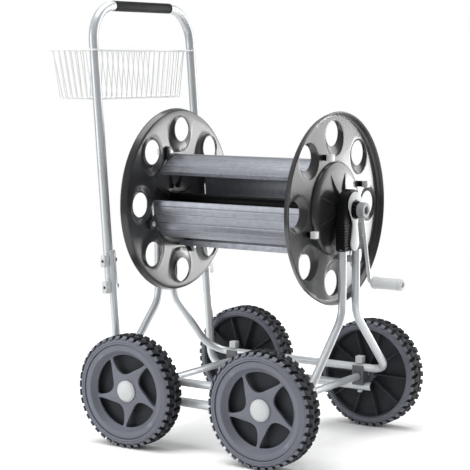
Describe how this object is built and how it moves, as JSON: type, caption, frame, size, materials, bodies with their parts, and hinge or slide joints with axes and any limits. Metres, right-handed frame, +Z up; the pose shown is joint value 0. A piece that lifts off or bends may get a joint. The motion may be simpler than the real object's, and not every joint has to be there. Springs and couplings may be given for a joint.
{
  "type": "garden hose reel cart",
  "caption": "Wheeled tube-frame cart with a crank-turned hose drum between holed flanges, a leaning push handle and a wire basket.",
  "frame": {"origin": "on the ground, under the middle of the whole cart's box", "axes": "+X along the reel's axis towards the crank, +Y along the wheel axles away from the reader of the front view, +Z up"},
  "size_m": [0.8066, 0.5284, 0.982],
  "materials": {
    "silver_tube": "satin silver paint",
    "zinc": "zinc plated",
    "clamp_grey": "fine matt",
    "light_grey_plastic": "satin moulded",
    "wheel_grey": "fine matt",
    "tyre": "moulded tread",
    "flange_charcoal": "semi-gloss moulded",
    "slat_metal": "coated extrusion",
    "black_plastic": "satin moulded",
    "basket_white": "white dip coating"
  },
  "bodies": {
    "frame": {"side_frame_near": "silver_tube", "side_frame_far": "silver_tube", "axle_handle_end": "silver_tube", "axle_crank_end": "silver_tube", "lower_handle_near": "silver_tube", "lower_handle_far": "silver_tube", "handle_bar": "silver_tube", "clamp_block_handle_end_near": "clamp_grey", "clamp_block_handle_end_far": "clamp_grey", "clamp_block_crank_end_near": "clamp_grey", "clamp_block_crank_end_far": "clamp_grey", "clamp_bolt_handle_end_near": "light_grey_plastic", "clamp_bolt_handle_end_far": "light_grey_plastic", "clamp_bolt_crank_end_near": "light_grey_plastic", "clamp_bolt_crank_end_far": "light_grey_plastic", "lap_spacer_near_low": "light_grey_plastic", "lap_spacer_near_high": "light_grey_plastic", "lap_spacer_far_low": "light_grey_plastic", "lap_spacer_far_high": "light_grey_plastic", "lap_bolt_near_low": "black_plastic", "lap_bolt_near_high": "black_plastic", "lap_bolt_far_low": "black_plastic", "lap_bolt_far_high": "black_plastic", "bearing_housing_handle_end": "black_plastic", "bearing_housing_crank_end": "black_plastic", "handle_grip": "black_plastic", "bearing_cover_handle_end": "light_grey_plastic", "bearing_cover_crank_end": "light_grey_plastic", "inlet_elbow": "light_grey_plastic", "basket": "basket_white"},
    "reel": {"reel_flange_handle_end": "flange_charcoal", "reel_flange_crank_end": "flange_charcoal", "drum_slat_1": "slat_metal", "drum_slat_2": "slat_metal", "drum_slat_3": "slat_metal", "drum_slat_4": "slat_metal", "slat_bolt_1_handle_end": "light_grey_plastic", "slat_bolt_1_crank_end": "light_grey_plastic", "slat_bolt_2_handle_end": "light_grey_plastic", "slat_bolt_2_crank_end": "light_grey_plastic", "slat_bolt_3_handle_end": "light_grey_plastic", "slat_bolt_3_crank_end": "light_grey_plastic", "slat_bolt_4_handle_end": "light_grey_plastic", "slat_bolt_4_crank_end": "light_grey_plastic", "reel_shaft": "black_plastic", "crank_knob": "light_grey_plastic", "crank_arm": "zinc"},
    "crank_grip": {"crank_grip": "light_grey_plastic"},
    "wheel_handle_end_near": {"tyre_handle_end_near": "tyre", "wheel_handle_end_near": "wheel_grey", "hub_cap_handle_end_near": "light_grey_plastic"},
    "wheel_handle_end_far": {"tyre_handle_end_far": "tyre", "wheel_handle_end_far": "wheel_grey", "hub_cap_handle_end_far": "light_grey_plastic"},
    "wheel_crank_end_near": {"tyre_crank_end_near": "tyre", "wheel_crank_end_near": "wheel_grey", "hub_cap_crank_end_near": "light_grey_plastic"},
    "wheel_crank_end_far": {"tyre_crank_end_far": "tyre", "wheel_crank_end_far": "wheel_grey", "hub_cap_crank_end_far": "light_grey_plastic"}
  },
  "joints": [
    {"name": "reel_spin", "type": "hinge", "parent": "frame", "child": "reel", "pos_m": [0.02875, 0, 0.528], "axis": [1, 0, 0], "continuous": true},
    {"name": "crank_grip_spin", "type": "hinge", "parent": "reel", "child": "crank_grip", "pos_m": [0.32295, 0, 0.3735], "axis": [1, 0, 0], "continuous": true},
    {"name": "spin_handle_end_near", "type": "hinge", "parent": "frame", "child": "wheel_handle_end_near", "pos_m": [-0.14495, -0.2367, 0.125], "axis": [0, 1, 0], "continuous": true},
    {"name": "spin_handle_end_far", "type": "hinge", "parent": "frame", "child": "wheel_handle_end_far", "pos_m": [-0.14495, 0.2367, 0.125], "axis": [0, 1, 0], "continuous": true},
    {"name": "spin_crank_end_near", "type": "hinge", "parent": "frame", "child": "wheel_crank_end_near", "pos_m": [0.20245, -0.2367, 0.125], "axis": [0, 1, 0], "continuous": true},
    {"name": "spin_crank_end_far", "type": "hinge", "parent": "frame", "child": "wheel_crank_end_far", "pos_m": [0.20245, 0.2367, 0.125], "axis": [0, 1, 0], "continuous": true}
  ]
}
